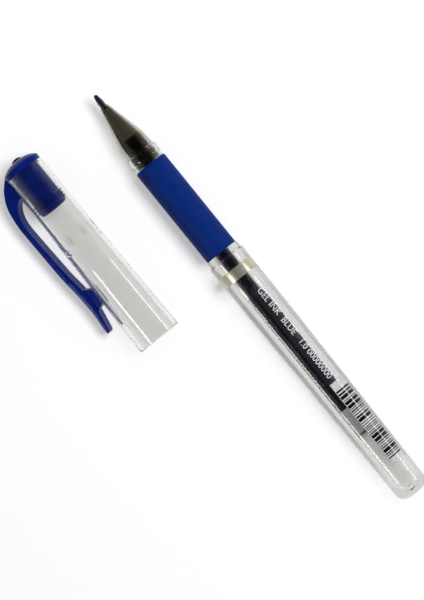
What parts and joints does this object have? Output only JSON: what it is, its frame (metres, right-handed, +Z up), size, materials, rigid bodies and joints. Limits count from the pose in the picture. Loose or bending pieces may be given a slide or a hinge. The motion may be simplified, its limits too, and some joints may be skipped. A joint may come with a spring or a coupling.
{
  "type": "gel pen",
  "caption": "Capped gel pen with a clear barrel, rubber grip, screw-off nose cone, gel refill and a cap with a sprung clip, cap off.",
  "frame": {"origin": "writing tip of the pen, on the pen's axis", "axes": "+X along the pen from the writing tip to the tail, +Z up from the surface the pen lies on, cap on the -Y side"},
  "size_m": [0.142, 0.0454, 0.0132],
  "materials": {
    "ball_carbide": "polished",
    "point_metal": "turned",
    "spring_steel": "drawn wire",
    "refill_plastic": "translucent",
    "gel_ink": "wet gel, near-black blue",
    "follower_grease": "clear grease",
    "smoke_plastic": "smoke-brown, translucent",
    "nose_plastic": "clear polished plastic",
    "clear_plastic": "clear polished plastic",
    "grip_rubber": "matte",
    "band_foil": "satin",
    "label_film": "printed film",
    "blue_plastic": "polished",
    "seal_elastomer": "matte"
  },
  "bodies": {
    "refill": {"refill_tube": "refill_plastic", "tip_holder": "smoke_plastic", "point_body": "point_metal", "ball_spring": "spring_steel", "ink_column": "gel_ink", "ink_follower": "follower_grease"},
    "ball": {"writing_ball": "ball_carbide"},
    "nose": {"nose_cone": "nose_plastic"},
    "barrel": {"barrel": "clear_plastic", "grip_sleeve": "grip_rubber", "trim_band": "band_foil", "barrel_label": "label_film"},
    "cap": {"cap_tube": "clear_plastic", "cap_plug": "blue_plastic", "tip_seal": "seal_elastomer"},
    "clip": {"clip": "blue_plastic"}
  },
  "joints": [
    {"name": "ball_roll", "type": "hinge", "parent": "refill", "child": "ball", "pos_m": [0.0005, 0, 0], "axis": [0, 1, 0], "continuous": true},
    {"name": "cone_unscrew", "type": "hinge", "parent": "refill", "child": "nose", "pos_m": [0.0202, 0, 0], "axis": [1, 0, 0], "range_deg": [0, 1080]},
    {"name": "barrel_off", "type": "slide", "parent": "refill", "child": "barrel", "axis": [1, 0, 0], "range_m": [0, 0.105]},
    {"name": "cap_carry", "type": "slide", "parent": "refill", "child": "cap", "axis": [-0.9583, 0.2855, -0.0096], "range_m": [0, 0.09913]},
    {"name": "clip_flex", "type": "hinge", "parent": "cap", "child": "clip", "pos_m": [0.0126, -0.03767, -0.00246], "axis": [0, 0.342, -0.9397], "range_deg": [0, 5], "stiffness_Nm_per_rad": 4}
  ]
}
